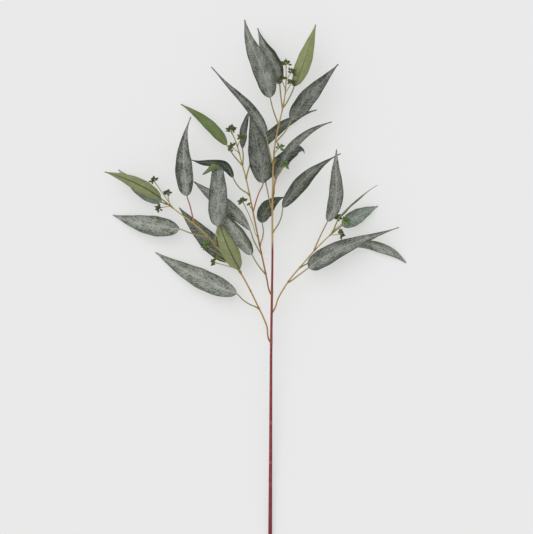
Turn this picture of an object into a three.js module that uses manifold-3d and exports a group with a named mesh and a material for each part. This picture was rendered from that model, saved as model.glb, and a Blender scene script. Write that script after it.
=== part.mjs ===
// Eucalyptus branch, cut and laid down on a surface: a straight main stem, three side stems,
// long sickle-shaped leaves on thin stalks, and small clusters of buds.
// Millimetres and degrees, +Z up. The main stem runs along +Y, from its cut end to its tip.
import * as THREE from "three";
import { mergeVertices } from "three/addons/utils/BufferGeometryUtils.js";
import Module from "manifold-3d";

const wasm = await Module();
wasm.setup();

// ---- driving dimensions ----
const GAP = 0.3; // clear space between a leaf stalk and the stem that it grows from
const STEM_SIDES = 8;
const STEM_STEP = 20; // length of one ring-to-ring stretch of stem
const LEAF_SIDES = 8;
const STALK_RADIUS = 1.0; // leaf stalk at its thinnest
const STALK_FOOT = 1.25; // leaf stalk where it leaves the stem
const BLADE_THICKNESS = 1.3; // at the midrib
const BLADE_EDGE = 0.5; // half thickness of the tip
const BLADE_TIP = 1.0; // half width of the blunt tip
const FOLD = 14; // how far each half of a blade is raised towards its upper face
const RESTING = 0.9; // height of a blade's tip where it rests on the surface
const BLADE_PEAK = 0.34; // where along a blade it is widest, unless the leaf says otherwise
const BLADE_TAPER = 1.05; // how soon its upper part narrows, unless the leaf says otherwise
const STALK_STEPS = [0, 0.3, 0.65];
const BLADE_STEPS = [0, 0.05, 0.15, 0.28, 0.42, 0.56, 0.7, 0.84, 0.93, 1];
const FOLDED_STEPS = [0, 0.05, 0.15, 0.28, 0.42, 0.54, 0.6, 0.63, 0.66, 0.69, 0.72, 0.75, 0.78, 0.81,
  0.85, 0.9, 0.95, 1]; // for a blade with a folded tip
const TWIG_RADIUS = 0.8; // stalk of a bud cluster
const TWIG_SIDES = 6;
const TWIG_ROWS = 4;
const HUB_RADIUS = 1.4;
const BUD_REACH = 10.5; // from a cluster's hub to a bud's tip, unless the cluster says otherwise
const BUD_RADIUS = 1.9; // of a bud of that reach; a shorter one is thinner in proportion
const BUD_WIDEST = 0.72; // share of the reach where a bud is widest
const BUD_SIDES = 5;
const GOLDEN_ANGLE = 137.5;

const COLOURS = {
  red_stem: "#7a2830",
  tan_stem: "#b08a58",
  leaf_upper: "#66705f",
  leaf_under: "#7f8a5e",
  buds: "#56762f",
};

// ---- stems: hand-chosen points along each axis, and the radius at the foot, middle and tip ----
const STEMS = {
  main: {
    path: [[0, 0, 3.4], [1, 150, 11], [2, 347, 26], [4, 488, 40], [4, 576, 47], [7, 675, 54],
      [15.5, 724, 57], [22.5, 753, 59], [27, 789, 61], [27, 819, 63]],
    radii: [3.4, 2.0, 0.9],
    colour: COLOURS.red_stem,
  },
  lower_left: {
    path: [[-2.6, 357, 26], [-6, 380, 27], [-20, 411, 29], [-34, 440, 31], [-51, 470, 33],
      [-89, 512, 35], [-119, 544, 34], [-153, 570, 32], [-176, 588, 30]],
    radii: [1.4, 1.3, 1.0],
    colour: COLOURS.tan_stem,
  },
  upper_left: {
    path: [[-1, 438, 34], [-7, 466, 37], [-18, 518, 43], [-26, 558, 47], [-40, 626, 52],
      [-48, 656, 54], [-58, 692, 56], [-67, 711, 57]],
    radii: [1.4, 1.3, 0.9],
    colour: COLOURS.tan_stem,
  },
  right: {
    path: [[7.6, 408, 31], [13, 424, 32], [33, 457, 34], [53, 481, 35], [78, 510, 36],
      [100, 532, 37], [107, 540, 38], [114, 556, 39]],
    radii: [1.3, 1.2, 0.9],
    colour: COLOURS.tan_stem,
  },
};

// ---- leaves ----
// at: distance along the stem. stalk and blade: [length, bearing, turn], where the length and
// the bearing go straight from end to end, and the turn is how far the curve swings on the way.
// rise: heights of the blade's base, middle and tip. roll: the blade's tilt at base and tip;
// about 180 shows the paler underside. peak: where along the blade it is widest. taper: above 1
// for a slender upper part, below 1 for a broad one.
// sway: how far the blade swings to its right in its lower half and to its left in its upper half.
// hook: [length, turn, roll] of a curled tip. crease: [distance along the blade, bearing, radius] of
// a fold that turns the tip over onto the blade. valley: how far each half is raised.
const LEAVES = {
  main: [
    { at: 727, stalk: [45, 110, -12], blade: [140, 108, -2], width: 34, rise: [66, 72, 60], roll: [8, -4],
      peak: 0.3, sway: 3 },
    { at: 756, stalk: [38, 99, -4], blade: [105, 111, 9], width: 29, rise: [50, 30, RESTING],
      roll: [-20, -30], taper: 1.25, sway: 2.5 },
    { at: 758, stalk: [38, 60, 15], blade: [111, 71, 8], width: 26, rise: [60, 56, 40], roll: [170, 190] },
    { at: 697, stalk: [43, 52, 25], blade: [125, 50, -11], width: 31, rise: [62, 66, 50], roll: [20, 10],
      peak: 0.3, taper: 1.2, sway: -1 },
    { at: 660, stalk: [43, 106, -5], blade: [153, 128, 21], width: 17, rise: [64, 68, 44], roll: [-10, 15],
      peak: 0.24, taper: 1.25, sway: 3 },
    { at: 600, stalk: [31, 82, -5], blade: [138, 45, -60], width: 16, rise: [42, 40, 34], roll: [10, -10] },
    { at: 582, stalk: [47, 103, -12], blade: [77, 45, -38], width: 24, rise: [34, 24, 16], roll: [5, 30],
      peak: 0.48, taper: 0.85, hook: [17, -125, 60] },
    { at: 543, stalk: [43, 65, 35], blade: [135, 43, -35], width: 26, rise: [50, 56, 44], roll: [25, 10],
      peak: 0.35, taper: 1.85 },
  ],
  upper_left: [
    { at: 224, stalk: [40, 130, -13], blade: [106, 138, 24], width: 19, rise: [50, 32, RESTING],
      roll: [172, 178] },
    { at: 224, stalk: [25, 88, 20], blade: [68, 78, -35], width: 17, rise: [48, 46, 44], roll: [50, 30] },
    { at: 171, stalk: [38, 136, -45], blade: [78, 157, 64], width: 20, rise: [54, 50, 40], roll: [-40, -50],
      sway: 5 },
    { at: 199, stalk: [45, 69, -15], blade: [129, 35, -42], width: 20, rise: [22, 11, RESTING],
      roll: [20, 40] },
    { at: 143, stalk: [48, 68, -12], blade: [120, 101, 10], width: 37, rise: [40, 38, 33], roll: [-6, 6] },
    { at: 69, stalk: [41, 117, -15], blade: [128, 139, 16], width: 24, rise: [36, 28, 18], roll: [-15, 0],
      peak: 0.45, sway: 2 },
    { at: 34, stalk: [37, 128, -15], blade: [106, 126, 1], width: 25, rise: [38, 46, 47], roll: [10, 10] },
    { at: 83, stalk: [36, 82, 40], blade: [57, 50, -70], width: 27, rise: [36, 33, 32], roll: [-25, -15] },
  ],
  lower_left: [
    { at: 58, stalk: [43, 149, -30], blade: [156, 153, -14], width: 35, rise: [24, 13, RESTING],
      roll: [6, -6] },
    { at: 124, stalk: [6, 100, 0], blade: [104, 112, -18], width: 30, rise: [37, 48, 40], roll: [180, 172] },
    { at: 129, stalk: [20, 130, -20], blade: [128, 134, -10], width: 32, rise: [26, 15, RESTING],
      roll: [-12, -8] },
    { at: 189, stalk: [31, 79, -20], blade: [139, 90.5, 3], width: 33, rise: [57, 67, 65], roll: [0, 0],
      peak: 0.26, taper: 0.85, valley: 6, crease: [99.5, 153.6, 4] },
    { at: 208, stalk: [49, 166, -10], blade: [117, 168, -16], width: 34, rise: [30, 16, RESTING],
      roll: [4, 0] },
    { at: 241, stalk: [47, 102, 8], blade: [135, 87, -31], width: 30, rise: [42, 50, 44], roll: [-12, 8],
      peak: 0.3, taper: 1.6, sway: 1.5 },
    { at: 298, stalk: [13, 140, 0], blade: [106, 155, 22], width: 23, rise: [36, 42, 36], roll: [184, 172] },
    { at: 296, stalk: [10, 165, -15], blade: [93, 143, -18], width: 25, rise: [25, 14, RESTING],
      roll: [0, 10] },
  ],
  right: [
    { at: 55, stalk: [39, 33, 0], blade: [170, 24, -20], width: 31, rise: [32, 33, 18], roll: [4, -4],
      peak: 0.22, taper: 1.4, sway: -1.5 },
    { at: 86, stalk: [13, 24, 0], blade: [169, 0, -88], width: 19, rise: [24, 14, RESTING], roll: [110, -10],
      peak: 0.66 },
    { at: 125, stalk: [51, 67, -5], blade: [123, 83, 26], width: 25, rise: [52, 62, 66], roll: [-6, 6],
      sway: 3 },
    { at: 170, stalk: [20, 67, -10], blade: [88, 41, -20], width: 13, rise: [55, 55, 48], roll: [82, 84] },
    { at: 166, stalk: [19, 33, 0], blade: [71, 28.5, -12], width: 26, rise: [28, 15, RESTING], roll: [8, 4] },
  ],
};

// ---- bud clusters ----
// twig: [length, bearing, turn], as for a leaf. height: of the hub. buds: how many. spread: the
// angle that they open to about the twig's own end direction. reach: from the hub to a bud's tip.
const BUDS = {
  main: [
    { at: 822, twig: [5, 88, 0], height: 64, buds: 8, spread: 105 },
    { at: 787, twig: [15, 117, 0], height: 68, buds: 8, spread: 100 },
    { at: 780, twig: [17, 55, 0], height: 76, buds: 8, spread: 100 },
    { at: 676, twig: [12, 40, 0], height: 63, buds: 7, spread: 95 },
    { at: 656, twig: [9, 60, 0], height: 60, buds: 4, spread: 60, reach: 6 },
    { at: 604, twig: [53, 68, -42], height: 60, buds: 8, spread: 100 },
    { at: 803, twig: [13, 50, 0], height: 68, buds: 7, spread: 90 },
  ],
  upper_left: [
    { at: 278, twig: [5, 100, 0], height: 61, buds: 10, spread: 115, reach: 11 },
    { at: 243, twig: [13, 146, 0], height: 66, buds: 8, spread: 100 },
    { at: 255, twig: [12, 60, 0], height: 63, buds: 6, spread: 80 },
    { at: 98, twig: [61, 114, 12], height: 56, buds: 8, spread: 90 },
    { at: 146, twig: [6, 140, 0], height: 49, buds: 3, spread: 50, reach: 5 },
  ],
  lower_left: [
    { at: 292, twig: [19, 97, 0], height: 38, buds: 9, spread: 100, reach: 9 },
    { at: 286, twig: [52, 124, 0], height: 54, buds: 7, spread: 90 },
    { at: 290, twig: [17, 193, 0], height: 46, buds: 7, spread: 85 },
    { at: 155, twig: [43, 149, 0], height: 40, buds: 10, spread: 105, reach: 11 },
    { at: 136, twig: [36, 168, 0], height: 37, buds: 7, spread: 85, reach: 9.5 },
    { at: 142, twig: [28, 157, 0], height: 38, buds: 6, spread: 70, reach: 6.5 },
  ],
  right: [
    { at: 190, twig: [6, 80, 0], height: 41, buds: 9, spread: 105, reach: 9.5 },
    { at: 172, twig: [22, 34, 0], height: 51, buds: 9, spread: 95, reach: 10 },
    { at: 160, twig: [16, 2, 0], height: 46, buds: 8, spread: 95 },
  ],
};

const radians = THREE.MathUtils.degToRad;
const lerp = THREE.MathUtils.lerp;

// A closed tube whose every ring is placed by `place(along, across, up)`, with along running
// from 0 to 1 and (across, up) on a unit circle.
function loft(sides, rows, place) {
  const geometry = new THREE.CylinderGeometry(1, 1, 1, sides, rows);
  geometry.deleteAttribute("normal");
  geometry.deleteAttribute("uv");
  const position = geometry.attributes.position;
  for (let i = 0; i < position.count; i += 1) {
    const point = place(position.getY(i) + 0.5, position.getX(i), position.getZ(i));
    position.setXYZ(i, point.x, point.y, point.z);
  }
  return mergeVertices(geometry, 1e-4);
}

// The share `s` of the way along a circular arc in plan that swings by `turn` radians.
function arcPoint(from, to, turn, s) {
  const chord = new THREE.Vector2().subVectors(to, from);
  if (Math.abs(turn) < 1e-3) return chord.multiplyScalar(s).add(from);
  const radius = chord.length() / (2 * Math.sin(turn / 2));
  const swing = turn * (s - 0.5);
  const along = radius * (Math.sin(swing) + Math.sin(turn / 2));
  const aside = radius * (Math.cos(turn / 2) - Math.cos(swing));
  return new THREE.Vector2(along, aside).rotateAround(new THREE.Vector2(), chord.angle()).add(from);
}

// The height at `s` of a smooth rise through a base, a middle and a tip.
function riseAt([base, middle, tip], s) {
  return base * (1 - s) * (1 - 2 * s) + middle * 4 * s * (1 - s) + tip * s * (2 * s - 1);
}

function offset(length, bearing) {
  return new THREE.Vector2(length, 0).rotateAround(new THREE.Vector2(), radians(bearing));
}

// ---- stems ----
function stemRadius([foot, middle, tip], s) {
  return s < 0.5 ? lerp(foot, middle, s * 2) : lerp(middle, tip, s * 2 - 1);
}

class Stem {
  constructor({ path, radii, colour }) {
    this.curve = new THREE.CatmullRomCurve3(path.map((p) => new THREE.Vector3(...p)));
    this.length = this.curve.getLength();
    this.radii = radii;
    this.colour = colour;
  }

  geometry() {
    return loft(STEM_SIDES, Math.round(this.length / STEM_STEP), (s, across, up) => {
      const tangent = this.curve.getTangentAt(s);
      const side = new THREE.Vector3().crossVectors(tangent, THREE.Object3D.DEFAULT_UP).normalize();
      const top = new THREE.Vector3().crossVectors(side, tangent);
      const radius = stemRadius(this.radii, s);
      return this.curve.getPointAt(s)
        .addScaledVector(side, across * radius)
        .addScaledVector(top, up * radius);
    });
  }

  // Where something grows out: the point on the axis in plan, and the start just clear of the bark.
  socket(at, towards, thickness) {
    if (at >= this.length) {
      const end = this.curve.getPointAt(1);
      return { axis: end, start: end.clone().addScaledVector(this.curve.getTangentAt(1), 2 * GAP) };
    }
    const s = at / this.length;
    const axis = this.curve.getPointAt(s);
    const tangent = this.curve.getTangentAt(s);
    const out = towards.clone().sub(axis);
    out.addScaledVector(tangent, -out.dot(tangent)).normalize();
    const clear = stemRadius(this.radii, s) + thickness + GAP;
    return { axis, start: axis.clone().addScaledVector(out, clear) };
  }

  pointAt(at) {
    return this.curve.getPointAt(Math.min(at / this.length, 1));
  }
}

// ---- leaves ----
// Half the blade's width at `s`: a rounded foot, a broad lower half and a long taper.
function bladeShape(s, { peak = BLADE_PEAK, taper = BLADE_TAPER }) {
  const swell = Math.sin(Math.PI * s ** (Math.log(0.5) / Math.log(peak)));
  return swell ** (s < peak ? 0.8 : taper);
}

function leafStations(stem, leaf) {
  const [stalkLength, stalkBearing, stalkTurn] = leaf.stalk;
  const [bladeLength, bladeBearing, bladeTurn] = leaf.blade;
  const [hookLength, hookTurn, hookRoll] = leaf.hook ?? [0, 0, 0];
  const axis = stem.pointAt(leaf.at);
  const base = offset(stalkLength, stalkBearing).add(axis);
  const socket = stem.socket(leaf.at, new THREE.Vector3(base.x, base.y, leaf.rise[0]), STALK_FOOT);
  const foot = new THREE.Vector2(socket.start.x, socket.start.y);
  const tip = offset(bladeLength, bladeBearing).add(base);
  const bladeSwing = radians(bladeTurn);
  const arcLength = bladeSwing ? bladeLength * bladeSwing / 2 / Math.sin(bladeSwing / 2) : bladeLength;
  const hookSwing = radians(hookTurn);
  const hookChord = hookTurn ? hookLength * Math.sin(hookSwing / 2) / (hookSwing / 2) : 0;
  const hookEnd = offset(hookChord, bladeBearing + bladeTurn / 2 + hookTurn / 2).add(tip);
  const share = arcLength / (arcLength + hookLength);
  const aside = offset(leaf.sway ?? 0, bladeBearing - 90);
  const bladePlan = (s) => {
    if (s > share) return arcPoint(tip, hookEnd, hookSwing, (s - share) / (1 - share));
    const swing = Math.sin((2 * Math.PI * s) / share);
    return arcPoint(base, tip, bladeSwing, s / share).addScaledVector(aside, swing);
  };
  const stations = [];
  for (const s of STALK_STEPS) {
    const plan = arcPoint(foot, base, radians(stalkTurn), s);
    const radius = lerp(STALK_FOOT, STALK_RADIUS, s);
    const z = lerp(socket.start.z, leaf.rise[0], s);
    stations.push({ plan, z, half: radius, thick: radius, roll: leaf.roll[0], fold: 0 });
  }
  for (const s of leaf.crease ? FOLDED_STEPS : BLADE_STEPS) {
    const least = s < 0.5 ? STALK_RADIUS : BLADE_TIP;
    const half = Math.max(bladeShape(s, leaf) * leaf.width / 2, least);
    const thick = lerp(lerp(STALK_RADIUS, BLADE_THICKNESS / 2, Math.min(s / 0.15, 1)), BLADE_EDGE, s);
    const curl = hookRoll * Math.max(0, (s - share) / (1 - share || 1));
    const roll = lerp(...leaf.roll, s) + curl;
    const fold = s > 0 ? leaf.valley ?? FOLD : 0;
    stations.push({ plan: bladePlan(s), z: riseAt(leaf.rise, s), half, thick, roll, fold });
  }
  return stations;
}

// Turns whatever lies beyond a crease up and over it, round a small radius.
function foldOver(point, along, [distance, bearing, radius]) {
  const middle = along(distance);
  const across = offset(1, bearing - 90);
  const beyond = (point.x - middle.x) * across.x + (point.y - middle.y) * across.y;
  if (beyond <= 0) return point;
  const turn = Math.min(beyond / radius, Math.PI);
  const inner = radius - (point.z - middle.z);
  const moved = inner * Math.sin(turn) - (beyond - turn * radius) - beyond;
  point.x += across.x * moved;
  point.y += across.y * moved;
  point.z = middle.z + radius - inner * Math.cos(turn);
  return point;
}

function leafGeometry(stem, leaf) {
  const stations = leafStations(stem, leaf);
  const centres = stations.map(({ plan, z }) => new THREE.Vector3(plan.x, plan.y, z));
  const last = stations.length - 1;
  const frames = centres.map((centre, i) => {
    const tangent = centres[Math.min(i + 1, last)].clone().sub(centres[Math.max(i - 1, 0)]).normalize();
    const side = new THREE.Vector3(tangent.y, -tangent.x, 0).normalize();
    side.applyAxisAngle(tangent, radians(stations[i].roll));
    return { side, up: new THREE.Vector3().crossVectors(side, tangent) };
  });
  const onBlade = (distance) => {
    const k = FOLDED_STEPS.findIndex((step) => step * leaf.blade[0] > distance);
    const [low, high] = [FOLDED_STEPS[k - 1], FOLDED_STEPS[k]];
    const first = STALK_STEPS.length + k - 1;
    return centres[first].clone().lerp(centres[first + 1], (distance / leaf.blade[0] - low) / (high - low));
  };
  return loft(LEAF_SIDES, last, (along, across, up) => {
    const i = Math.round(along * last);
    const { half, thick, fold } = stations[i];
    const raised = Math.abs(across) * half * Math.tan(radians(fold));
    const point = centres[i].clone()
      .addScaledVector(frames[i].side, across * half)
      .addScaledVector(frames[i].up, up * thick + raised);
    return leaf.crease ? foldOver(point, onBlade, leaf.crease) : point;
  });
}

// ---- bud clusters ----
function solid(geometry) {
  return new wasm.Manifold(new wasm.Mesh({
    numProp: 3,
    vertProperties: new Float32Array(geometry.attributes.position.array),
    triVerts: new Uint32Array(geometry.index.array),
  }));
}

function bare(geometry) {
  geometry.deleteAttribute("normal");
  geometry.deleteAttribute("uv");
  return mergeVertices(geometry, 1e-4);
}

function budGeometry(direction, hub, reach) {
  const radius = BUD_RADIUS * Math.min(1, reach / BUD_REACH);
  const outline = [[0, 0], [radius, reach * BUD_WIDEST], [0, reach]];
  const geometry = new THREE.LatheGeometry(outline.map((p) => new THREE.Vector2(...p)), BUD_SIDES);
  const upright = new THREE.Vector3(0, 1, 0);
  geometry.applyQuaternion(new THREE.Quaternion().setFromUnitVectors(upright, direction));
  geometry.translate(hub.x, hub.y, hub.z);
  return bare(geometry);
}

// Directions spread evenly over a dome, by the golden angle.
function domeDirections(axis, count, spread) {
  const side = new THREE.Vector3(axis.y, -axis.x, 0).normalize();
  const directions = [];
  for (let k = 0; k < count; k += 1) {
    const tilt = radians(spread) * Math.sqrt((k + 0.4) / count);
    const direction = axis.clone().applyAxisAngle(side, tilt);
    directions.push(direction.applyAxisAngle(axis, radians(k * GOLDEN_ANGLE)));
  }
  return directions;
}

function clusterGeometry(stem, cluster) {
  const [length, bearing, turn] = cluster.twig;
  const axis = stem.pointAt(cluster.at);
  const plan = offset(length, bearing).add(axis);
  const hub = new THREE.Vector3(plan.x, plan.y, cluster.height);
  const { start } = stem.socket(cluster.at, hub, TWIG_RADIUS);
  const foot = new THREE.Vector2(start.x, start.y);
  const centre = (s) => {
    const at = arcPoint(foot, plan, radians(turn), s);
    return new THREE.Vector3(at.x, at.y, lerp(start.z, hub.z, s));
  };
  const tangentAt = (s) => centre(s + 0.01).sub(centre(s - 0.01)).normalize();
  const twig = loft(TWIG_SIDES, TWIG_ROWS, (s, across, up) => {
    const tangent = tangentAt(s);
    const side = new THREE.Vector3(tangent.y, -tangent.x, 0).normalize();
    const top = new THREE.Vector3().crossVectors(side, tangent);
    return centre(s)
      .addScaledVector(side, across * TWIG_RADIUS)
      .addScaledVector(top, up * TWIG_RADIUS);
  });
  const knob = bare(new THREE.IcosahedronGeometry(HUB_RADIUS).translate(hub.x, hub.y, hub.z));
  let body = solid(twig).add(solid(knob));
  for (const direction of domeDirections(tangentAt(1), cluster.buds, cluster.spread)) {
    body = body.add(solid(budGeometry(direction, hub, cluster.reach ?? BUD_REACH)));
  }
  const { vertProperties, triVerts } = body.getMesh();
  const geometry = new THREE.BufferGeometry();
  geometry.setAttribute("position", new THREE.BufferAttribute(vertProperties, 3));
  geometry.setIndex(new THREE.BufferAttribute(triVerts, 1));
  return geometry;
}

// ---- the branch ----
function piece(name, geometry, colour) {
  geometry.computeVertexNormals();
  const material = new THREE.MeshStandardMaterial({ color: colour, roughness: 0.7, metalness: 0 });
  const mesh = new THREE.Mesh(geometry, material);
  mesh.name = name;
  return mesh;
}

function showsUnderside({ roll: [base] }) {
  return Math.abs(base) > 120;
}

const branch = new THREE.Group();
for (const [name, design] of Object.entries(STEMS)) {
  const stem = new Stem(design);
  branch.add(piece(`${name}_stem`, stem.geometry(), stem.colour));
  LEAVES[name].forEach((leaf, i) => {
    const colour = showsUnderside(leaf) ? COLOURS.leaf_under : COLOURS.leaf_upper;
    branch.add(piece(`${name}_leaf_${i + 1}`, leafGeometry(stem, leaf), colour));
  });
  BUDS[name].forEach((cluster, i) => {
    branch.add(piece(`${name}_buds_${i + 1}`, clusterGeometry(stem, cluster), COLOURS.buds));
  });
}

// The origin is under the middle of the branch, on the surface that it lies on.
const box = new THREE.Box3().setFromObject(branch, true);
const middle = box.getCenter(new THREE.Vector3());
branch.position.set(-middle.x, -middle.y, -box.min.z);

export default branch;
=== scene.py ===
"""A cut eucalyptus branch lying on a pale studio floor.

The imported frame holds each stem, leaf and bud cluster as a plain faceted solid. Each one is read
back as a line through its cross-sections, and is rebuilt here as a fine surface with its own
finish. Everything is in metres, +Z up, with the main stem along +Y.
"""
import logging
import math
import random
from dataclasses import dataclass, field
from enum import Enum

import bmesh
import bpy
import numpy as np
from mathutils import Matrix, Vector


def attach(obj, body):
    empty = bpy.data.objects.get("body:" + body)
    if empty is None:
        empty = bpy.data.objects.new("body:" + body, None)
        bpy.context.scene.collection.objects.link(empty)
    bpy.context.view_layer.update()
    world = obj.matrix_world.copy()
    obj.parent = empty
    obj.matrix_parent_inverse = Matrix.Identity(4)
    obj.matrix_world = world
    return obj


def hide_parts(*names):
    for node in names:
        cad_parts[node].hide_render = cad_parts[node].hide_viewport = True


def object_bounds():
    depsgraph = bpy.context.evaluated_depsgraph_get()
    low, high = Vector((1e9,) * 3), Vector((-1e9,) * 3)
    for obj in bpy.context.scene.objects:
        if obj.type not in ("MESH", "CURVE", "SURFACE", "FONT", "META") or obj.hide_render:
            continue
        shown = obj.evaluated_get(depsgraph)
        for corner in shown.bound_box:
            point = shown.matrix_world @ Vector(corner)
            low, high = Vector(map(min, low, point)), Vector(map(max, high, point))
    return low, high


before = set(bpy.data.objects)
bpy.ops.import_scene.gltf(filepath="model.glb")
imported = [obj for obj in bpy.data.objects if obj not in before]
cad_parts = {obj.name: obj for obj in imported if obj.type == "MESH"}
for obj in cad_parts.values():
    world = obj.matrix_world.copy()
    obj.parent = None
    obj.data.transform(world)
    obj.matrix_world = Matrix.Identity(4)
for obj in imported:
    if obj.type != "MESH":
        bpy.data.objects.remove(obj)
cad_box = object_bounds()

log = logging.getLogger("branch")

MM = 0.001
MERGE_DISTANCE = 0.002 * MM
RING_CORNERS = 8  # of each ring of a packed stem or leaf, and edges that meet at each of its ends
VEIN_SLANT = 1.15  # how far a side vein runs towards the tip for each step away from the rib
HUMP_STEEPNESS = 2.5
FULL_TURN = 6.28  # in radians, rounded

# The colour inputs and output of a Mix node set to RGBA, by index, because their names repeat.
MIX_A, MIX_B, MIX_RESULT = 6, 7, 2

Array = np.ndarray


# ---------------------------------------------------------------------------------------------
# Numbers along a line
# ---------------------------------------------------------------------------------------------

def unit(vectors: Array) -> Array:
    """Each row of an array of vectors, scaled to length one."""
    return vectors / np.maximum(np.linalg.norm(vectors, axis=-1, keepdims=True), 1e-12)


def through(knots: Array, values: Array, at: Array) -> Array:
    """A smooth curve through known values.

    Args:
        knots: Where the values are known, rising.
        values: One value or one row for each knot.
        at: Where to read the curve, inside the knots.

    Returns:
        One value or row for each place in `at`.
    """
    slopes = np.gradient(values, knots, axis=0)
    i = np.clip(np.searchsorted(knots, at, side="right") - 1, 0, len(knots) - 2)
    span = knots[i + 1] - knots[i]
    u = (at - knots[i]) / span
    if values.ndim > 1:
        u, span = u[:, None], span[:, None]
    first, last = values[i], values[i + 1]
    leave, arrive = slopes[i] * span, slopes[i + 1] * span
    return (first * (2 * u**3 - 3 * u**2 + 1) + leave * (u**3 - 2 * u**2 + u)
            + last * (3 * u**2 - 2 * u**3) + arrive * (u**3 - u**2))


def hump(distance: Array, half_width: float) -> Array:
    """A soft hump: 1 where the distance is 0, and nearly 0 past the half width."""
    return np.exp(-(distance / half_width) ** 2 * HUMP_STEEPNESS)


def ease(value: Array, start: float, end: float) -> Array:
    """A soft step from 0 at `start` to 1 at `end`."""
    share = np.clip((value - start) / (end - start), 0, 1)
    return share * share * (3 - 2 * share)


# ---------------------------------------------------------------------------------------------
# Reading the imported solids
# ---------------------------------------------------------------------------------------------

class PackedSolid:
    """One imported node, with its loose corners merged in a copy, ready to be walked over."""

    def __init__(self, node: str) -> None:
        """Copies the node's mesh and merges its corners.

        Args:
            node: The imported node.
        """
        self.shape = bmesh.new()
        self.shape.from_mesh(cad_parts[node].data)
        bmesh.ops.remove_doubles(self.shape, verts=self.shape.verts, dist=MERGE_DISTANCE)

    def neighbours(self, corner: bmesh.types.BMVert) -> list[bmesh.types.BMVert]:
        """The corners joined to a corner by an edge."""
        return [edge.other_vert(corner) for edge in corner.link_edges]

    def poles(self, edges: int) -> list[bmesh.types.BMVert]:
        """The corners where exactly that many edges meet."""
        return [v for v in self.shape.verts if len(v.link_edges) == edges]

    def levels(self, pole: bmesh.types.BMVert, most: int = 1000) -> list[list[bmesh.types.BMVert]]:
        """The rings of corners at one, two, three and more edges from a pole.

        Args:
            pole: The corner to start from.
            most: How many rings to return at most.

        Returns:
            The rings, nearest first, without the pole.
        """
        seen = {pole}
        rings = [[pole]]
        while len(rings) <= most:
            ring = {n for v in rings[-1] for n in self.neighbours(v)} - seen
            if not ring:
                break
            seen |= ring
            rings.append(sorted(ring, key=lambda v: v.index))
        return rings[1:]

    def in_order(self, ring: list[bmesh.types.BMVert]) -> Array:
        """Puts a ring's corners in order, going round it.

        Args:
            ring: The corners, in any order.

        Returns:
            One row for each corner.
        """
        left = list(ring[1:])
        walk = [ring[0]]
        while left:
            following = next(v for v in left if v in self.neighbours(walk[-1]))
            left.remove(following)
            walk.append(following)
        return np.array([v.co for v in walk], float)

    def loft_rings(self) -> list[Array]:
        """Finds the rings of a solid that runs from a thicker foot to a thinner tip.

        Returns:
            For each ring, one row for each corner, foot first.
        """
        self.shape.verts.index_update()
        pole = self.poles(RING_CORNERS)[0]
        rings = [self.in_order(r) for r in self.levels(pole) if len(r) == RING_CORNERS]
        girths = [np.linalg.norm(r - r.mean(axis=0), axis=1).mean() for r in (rings[0], rings[-1])]
        return rings if girths[0] > girths[1] else rings[::-1]

    def done(self) -> None:
        """Frees the copy."""
        self.shape.free()


@dataclass
class Section:
    """Cross-sections at a set of distances along a line: one row for each."""
    point: Array
    along: Array
    side: Array
    up: Array
    half: Array


class Line:
    """A smooth line with a width and an upper side, through known cross-sections."""

    def __init__(self, points: Array, halves: Array, ups: Array) -> None:
        """Keeps the known cross-sections and measures the distance from the first to each.

        Args:
            points: The middle of each.
            halves: Its half width.
            ups: Its upper side's direction.
        """
        self.points, self.halves, self.ups = points, halves, ups
        steps = np.linalg.norm(np.diff(points, axis=0), axis=1)
        self.knots = np.concatenate([[0.0], np.cumsum(steps)])
        self.length = float(self.knots[-1])

    def at(self, distances: Array) -> Section:
        """Reads the line's cross-sections.

        Args:
            distances: How far from the line's start.

        Returns:
            One cross-section for each distance.
        """
        where = np.clip(distances, 0, self.length)
        step = 0.2 * MM
        ahead = through(self.knots, self.points, np.clip(where + step, 0, self.length))
        behind = through(self.knots, self.points, np.clip(where - step, 0, self.length))
        along = unit(ahead - behind)
        up = through(self.knots, self.ups, where)
        side = unit(np.cross(along, up))
        # A blade's width follows a root at its foot, so the square of the width is what runs evenly.
        squares = through(self.knots, self.halves**2, where)
        half = np.sqrt(np.maximum(squares, (0.1 * MM) ** 2))
        return Section(through(self.knots, self.points, where), along, side, np.cross(side, along), half)

    def nearest(self, point: Array) -> tuple[float, Array]:
        """Finds where the line comes nearest to a point.

        Args:
            point: The point.

        Returns:
            The distance along the line, and the place on it.
        """
        distances = np.arange(0, self.length, 0.5 * MM)
        points = through(self.knots, self.points, distances)
        k = int(np.argmin(np.linalg.norm(points - point, axis=1)))
        return float(distances[k]), points[k]


def stem_line(node: str) -> Line:
    """Reads a packed stem back as a line through the middles of its rings.

    Args:
        node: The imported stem's node.

    Returns:
        Its line.
    """
    solid = PackedSolid(node)
    rings = solid.loft_rings()
    solid.done()
    middles = np.array([ring.mean(axis=0) for ring in rings])
    halves = np.array([np.linalg.norm(r - r.mean(axis=0), axis=1).mean() for r in rings])
    return Line(middles, halves, np.tile((0.0, 0.0, 1.0), (len(rings), 1)))


# ---------------------------------------------------------------------------------------------
# Meshes
# ---------------------------------------------------------------------------------------------

def start_primitive() -> None:
    """Deselects everything, so that the next operator acts on the new piece only."""
    if bpy.context.object and bpy.context.object.mode != "OBJECT":
        bpy.ops.object.mode_set(mode="OBJECT")
    bpy.ops.object.select_all(action="DESELECT")


def select(*pieces: bpy.types.Object) -> None:
    """Selects these pieces and nothing else, with the first as the active one.

    Args:
        *pieces: The pieces.
    """
    start_primitive()
    for piece in pieces:
        piece.select_set(True)
    bpy.context.view_layer.objects.active = pieces[0]


def place_corners(piece: bpy.types.Object, places: Array) -> None:
    """Puts a mesh's corners at new places, one row each."""
    piece.data.vertices.foreach_set("co", np.ascontiguousarray(places, np.float32).ravel())
    piece.data.update()


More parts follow.
